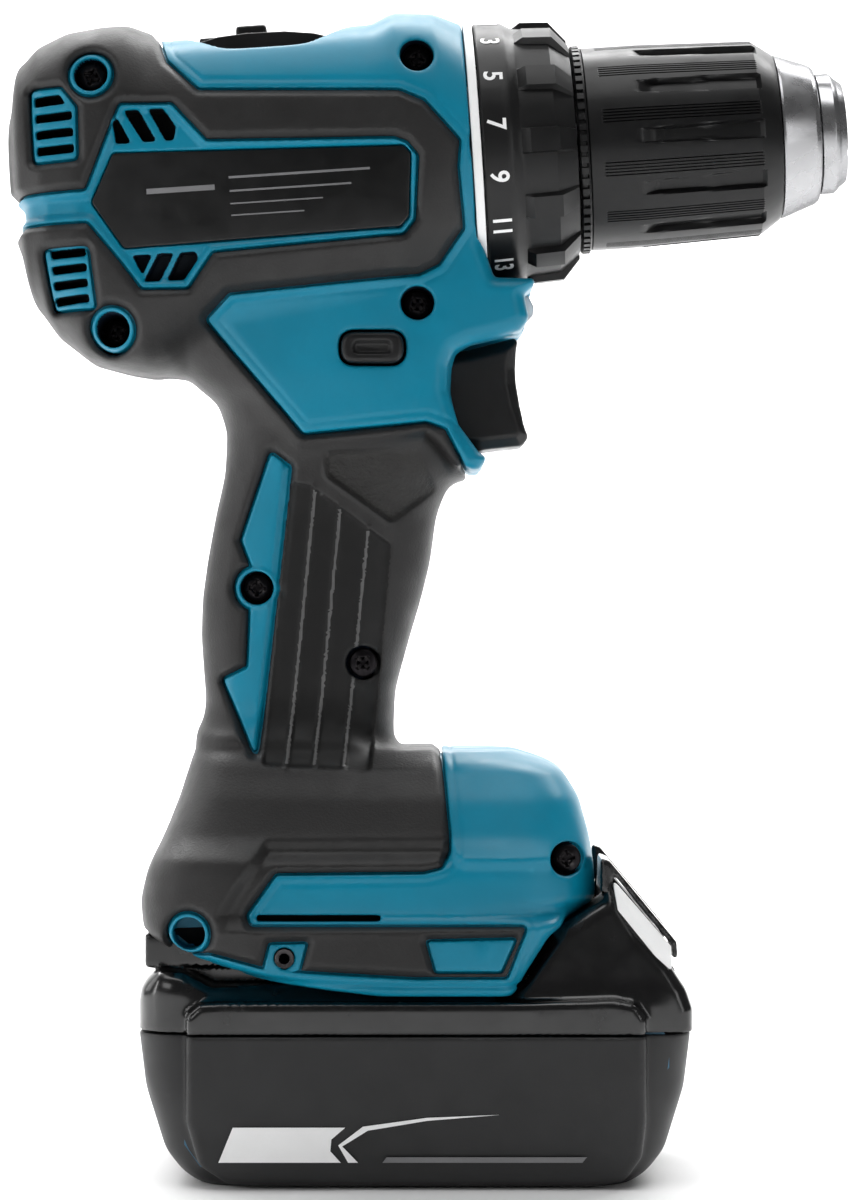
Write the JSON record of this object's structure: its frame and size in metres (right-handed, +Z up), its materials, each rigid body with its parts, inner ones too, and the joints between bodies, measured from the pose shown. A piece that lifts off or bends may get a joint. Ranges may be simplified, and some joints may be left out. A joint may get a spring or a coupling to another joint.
{
  "type": "cordless drill driver",
  "caption": "Pistol-grip cordless drill driver with keyless chuck, clutch collar, trigger, speed selector, direction lever and slide-on battery.",
  "frame": {"origin": "on the floor under the battery, midway between the rear cap and the tip of the chuck", "axes": "+X towards the chuck, +Y to the user's left, +Z up, standing on the battery"},
  "size_m": [0.1777, 0.0788, 0.2442],
  "materials": {
    "shell_teal": "satin moulded polyamide",
    "overmould_black": "fine-grained matte elastomer",
    "plastic_black": "satin black",
    "battery_black": "satin black polycarbonate blend",
    "steel": "machined steel",
    "dark_steel": "blackened steel",
    "copper": "enamelled copper windings on a laminated core",
    "alloy": "die-cast",
    "white": "white moulding",
    "lens": "clear moulding",
    "board": "green circuit board",
    "cell_wrap": "shrink-wrapped cells"
  },
  "bodies": {
    "tool": {"housing_left": "shell_teal", "housing_right": "shell_teal", "overmould_left": "overmould_black", "overmould_right": "overmould_black", "rating_plate_left": "plastic_black", "rating_plate_right": "plastic_black", "hook_insert_left": "alloy", "hook_insert_right": "alloy", "housing_screw_1": "dark_steel", "housing_screw_2": "dark_steel", "housing_screw_3": "dark_steel", "housing_screw_4": "dark_steel", "housing_screw_5": "dark_steel", "housing_screw_6": "dark_steel", "housing_screw_7": "dark_steel", "rear_bearing": "steel", "stator": "copper", "sensor_board": "board", "front_bearing": "steel", "motor_bracket": "alloy", "gear_case": "alloy", "ring_gear_1": "steel", "spindle_bearing": "steel", "clutch_spring": "steel", "pointer_ring": "white", "switch_unit": "plastic_black", "lamp_lens": "lens", "controller": "alloy", "terminal_block": "plastic_black"},
    "rotor": {"rotor_core": "dark_steel", "rotor_shaft": "steel", "cooling_fan": "plastic_black"},
    "carrier": {"carrier_1": "steel"},
    "spindle": {"spindle": "steel", "chuck_body": "steel", "chuck_back_ring": "plastic_black"},
    "planet_1a": {"planet_1_a": "steel"},
    "planet_1b": {"planet_1_b": "steel"},
    "planet_1c": {"planet_1_c": "steel"},
    "planet_2a": {"planet_2_a": "steel"},
    "planet_2b": {"planet_2_b": "steel"},
    "planet_2c": {"planet_2_c": "steel"},
    "shift_ring": {"ring_gear_2": "steel"},
    "sleeve": {"chuck_sleeve": "plastic_black", "sleeve_nose": "steel", "jaw_nut": "dark_steel"},
    "jaw_1": {"jaw_a": "dark_steel"},
    "jaw_2": {"jaw_b": "dark_steel"},
    "jaw_3": {"jaw_c": "dark_steel"},
    "torque_collar": {"torque_ring": "plastic_black"},
    "clutch_nut": {"clutch_nut": "steel"},
    "selector": {"speed_selector": "plastic_black"},
    "lever": {"direction_lever": "plastic_black"},
    "trigger": {"trigger": "plastic_black"},
    "battery": {"battery_case": "battery_black", "battery_cover": "battery_black", "cell_pack": "cell_wrap", "battery_board": "board", "button_spring": "steel"},
    "button": {"battery_button": "plastic_black"}
  },
  "joints": [
    {"name": "spindle_spin", "type": "hinge", "parent": "tool", "child": "spindle", "pos_m": [0, 0, 0.2135], "axis": [0.9978, 0, 0.0663], "continuous": true},
    {"name": "carrier_spin", "type": "hinge", "parent": "tool", "child": "carrier", "pos_m": [0, 0, 0.2135], "axis": [0.9978, 0, 0.0663], "continuous": true},
    {"name": "rotor_spin", "type": "hinge", "parent": "tool", "child": "rotor", "pos_m": [0, 0, 0.2135], "axis": [0.9978, 0, 0.0663], "continuous": true},
    {"name": "planet_1a_spin", "type": "hinge", "parent": "carrier", "child": "planet_1a", "pos_m": [-0.02546, 0, 0.20219], "axis": [0.9978, 0, 0.0663], "continuous": true},
    {"name": "planet_1b_spin", "type": "hinge", "parent": "carrier", "child": "planet_1b", "pos_m": [-0.02641, 0.00831, 0.21656], "axis": [0.9978, 0, 0.0663], "continuous": true},
    {"name": "planet_1c_spin", "type": "hinge", "parent": "carrier", "child": "planet_1c", "pos_m": [-0.02641, -0.00831, 0.21656], "axis": [0.9978, 0, 0.0663], "continuous": true},
    {"name": "planet_2a_spin", "type": "hinge", "parent": "spindle", "child": "planet_2a", "pos_m": [-0.01413, 0, 0.20294], "axis": [0.9978, 0, 0.0663], "continuous": true},
    {"name": "planet_2b_spin", "type": "hinge", "parent": "spindle", "child": "planet_2b", "pos_m": [-0.01509, 0.00831, 0.21731], "axis": [0.9978, 0, 0.0663], "continuous": true},
    {"name": "planet_2c_spin", "type": "hinge", "parent": "spindle", "child": "planet_2c", "pos_m": [-0.01509, -0.00831, 0.21731], "axis": [0.9978, 0, 0.0663], "continuous": true},
    {"name": "sleeve_turn", "type": "hinge", "parent": "spindle", "child": "sleeve", "pos_m": [0.05638, 0, 0.21724], "axis": [0.9978, 0, 0.0663], "range_deg": [0, 3966]},
    {"name": "jaw_1_slide", "type": "slide", "parent": "spindle", "child": "jaw_1", "axis": [0.9736, 0, -0.2284], "range_m": [0, 0.022]},
    {"name": "jaw_2_slide", "type": "slide", "parent": "spindle", "child": "jaw_2", "axis": [0.9445, 0.2532, 0.2092], "range_m": [0, 0.022]},
    {"name": "jaw_3_slide", "type": "slide", "parent": "spindle", "child": "jaw_3", "axis": [0.9445, -0.2532, 0.2092], "range_m": [0, 0.022]},
    {"name": "torque_collar_turn", "type": "hinge", "parent": "tool", "child": "torque_collar", "pos_m": [0.02095, 0, 0.21489], "axis": [0.9978, 0, 0.0663], "range_deg": [0, 302]},
    {"name": "clutch_nut_slide", "type": "slide", "parent": "tool", "child": "clutch_nut", "axis": [0.9978, 0, 0.0663], "range_m": [-0.005, 0], "deforming": ["clutch_spring"]},
    {"name": "selector_slide", "type": "slide", "parent": "tool", "child": "selector", "axis": [0.9978, 0, 0.0663], "range_m": [0, 0.008]},
    {"name": "shift_ring_slide", "type": "slide", "parent": "tool", "child": "shift_ring", "axis": [0.9978, 0, 0.0663], "range_m": [-0.004, 0]},
    {"name": "lever_slide", "type": "slide", "parent": "tool", "child": "lever", "axis": [0, 1, 0], "range_m": [-0.003, 0.003]},
    {"name": "trigger_slide", "type": "slide", "parent": "tool", "child": "trigger", "axis": [-1, 0, 0], "range_m": [0, 0.0065], "stiffness_N_per_m": 700, "springref_m": -0.004},
    {"name": "battery_slide", "type": "slide", "parent": "tool", "child": "battery", "axis": [1, 0, 0], "range_m": [0, 0.1]},
    {"name": "button_press", "type": "slide", "parent": "battery", "child": "button", "axis": [0, 0, -1], "range_m": [0, 0.003], "stiffness_N_per_m": 900, "springref_m": -0.002, "deforming": ["button_spring"]}
  ],
  "couplings": [
    {"joint": "carrier_spin", "follows": "spindle_spin", "ratio": 6},
    {"joint": "rotor_spin", "follows": "spindle_spin", "ratio": 36},
    {"joint": "planet_1a_spin", "follows": "spindle_spin", "ratio": -15},
    {"joint": "planet_1b_spin", "follows": "spindle_spin", "ratio": -15},
    {"joint": "planet_1c_spin", "follows": "spindle_spin", "ratio": -15},
    {"joint": "planet_2a_spin", "follows": "spindle_spin", "ratio": -2.5},
    {"joint": "planet_2b_spin", "follows": "spindle_spin", "ratio": -2.5},
    {"joint": "planet_2c_spin", "follows": "spindle_spin", "ratio": -2.5},
    {"joint": "jaw_2_slide", "follows": "jaw_1_slide", "ratio": 1},
    {"joint": "jaw_3_slide", "follows": "jaw_1_slide", "ratio": 1},
    {"joint": "sleeve_turn", "follows": "jaw_1_slide", "rad_per_m": 3141.6},
    {"joint": "torque_collar_turn", "follows": "clutch_nut_slide", "rad_per_m": -1047.2},
    {"joint": "shift_ring_slide", "follows": "selector_slide", "ratio": -0.5}
  ]
}
